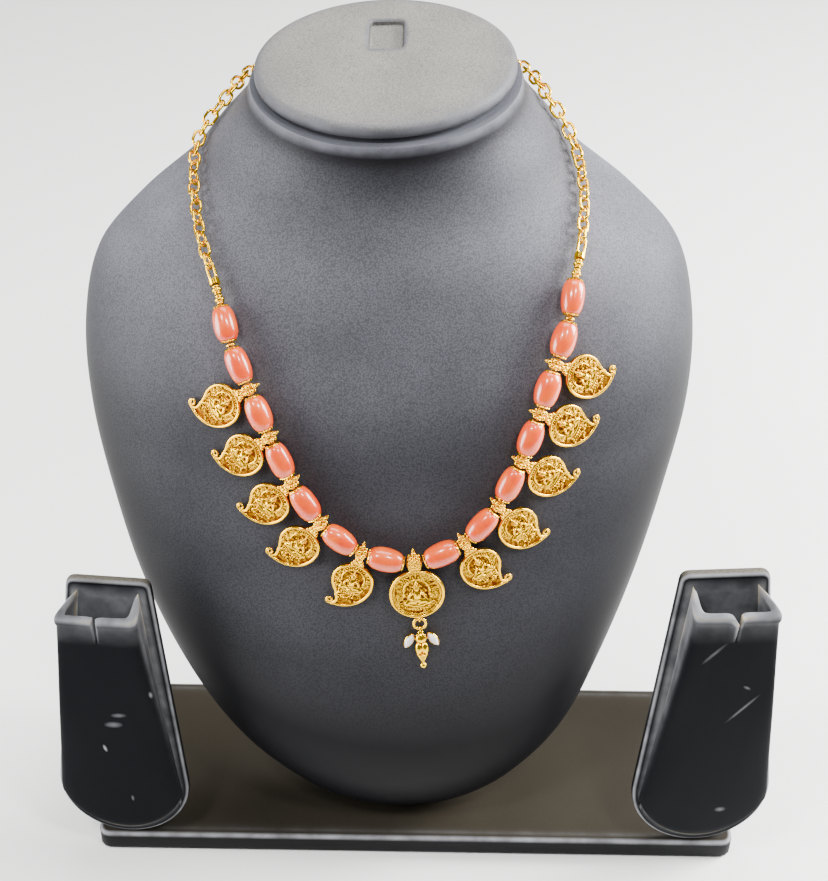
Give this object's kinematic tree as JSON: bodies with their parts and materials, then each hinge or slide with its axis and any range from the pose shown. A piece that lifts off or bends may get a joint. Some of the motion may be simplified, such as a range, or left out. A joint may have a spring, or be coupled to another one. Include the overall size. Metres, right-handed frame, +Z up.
{
  "type": "temple jewellery necklace on a display neck bust",
  "caption": "Necklace of coral barrel beads, cast mango pendants, a round medallion with a drop and a link chain, laid on a neck bust that stands on a base board with earring pads.",
  "frame": {"origin": "centre of the base board's underside", "axes": "+Z up, +X to the viewer's right, +Y away from the viewer, the necklace faces -Y"},
  "size_m": [0.2568, 0.1653, 0.2679],
  "materials": {
    "bust_leatherette": "matt, fine grain",
    "cap_leatherette": "matt, fine grain",
    "board_leatherette": "matt, dusty",
    "pad_leatherette": "matt, worn edges",
    "coral": "polished",
    "antique_gold": "matt gold plate with dark recesses",
    "bright_gold": "satin gold plate",
    "chain_gold": "satin gold plate",
    "white_stone": "polished, milky",
    "thread": "matt"
  },
  "bodies": {
    "root": {"base_board": "board_leatherette", "neck_bust": "bust_leatherette", "neck_cap": "cap_leatherette", "medallion": "antique_gold", "drop_ring": "bright_gold", "drop": "bright_gold", "drop_stones": "white_stone", "bead_caps": "bright_gold", "spacer_beads": "bright_gold", "end_loops": "bright_gold", "clasp": "bright_gold", "thread": "thread", "pad_back_left": "pad_leatherette", "pad_flap_left": "pad_leatherette", "chain_left": "chain_gold", "pad_back_right": "pad_leatherette", "pad_flap_right": "pad_leatherette", "chain_right": "chain_gold", "coral_bead_left_1": "coral", "coral_bead_left_2": "coral", "coral_bead_left_3": "coral", "coral_bead_left_4": "coral", "coral_bead_left_5": "coral", "coral_bead_left_6": "coral", "coral_bead_left_7": "coral", "coral_bead_right_1": "coral", "coral_bead_right_2": "coral", "coral_bead_right_3": "coral", "coral_bead_right_4": "coral", "coral_bead_right_5": "coral", "coral_bead_right_6": "coral", "coral_bead_right_7": "coral", "mango_pendant_left_1": "antique_gold", "mango_pendant_left_2": "antique_gold", "mango_pendant_left_3": "antique_gold", "mango_pendant_left_4": "antique_gold", "mango_pendant_left_5": "antique_gold", "mango_pendant_right_1": "antique_gold", "mango_pendant_right_2": "antique_gold", "mango_pendant_right_3": "antique_gold", "mango_pendant_right_4": "antique_gold", "mango_pendant_right_5": "antique_gold"}
  },
  "joints": []
}
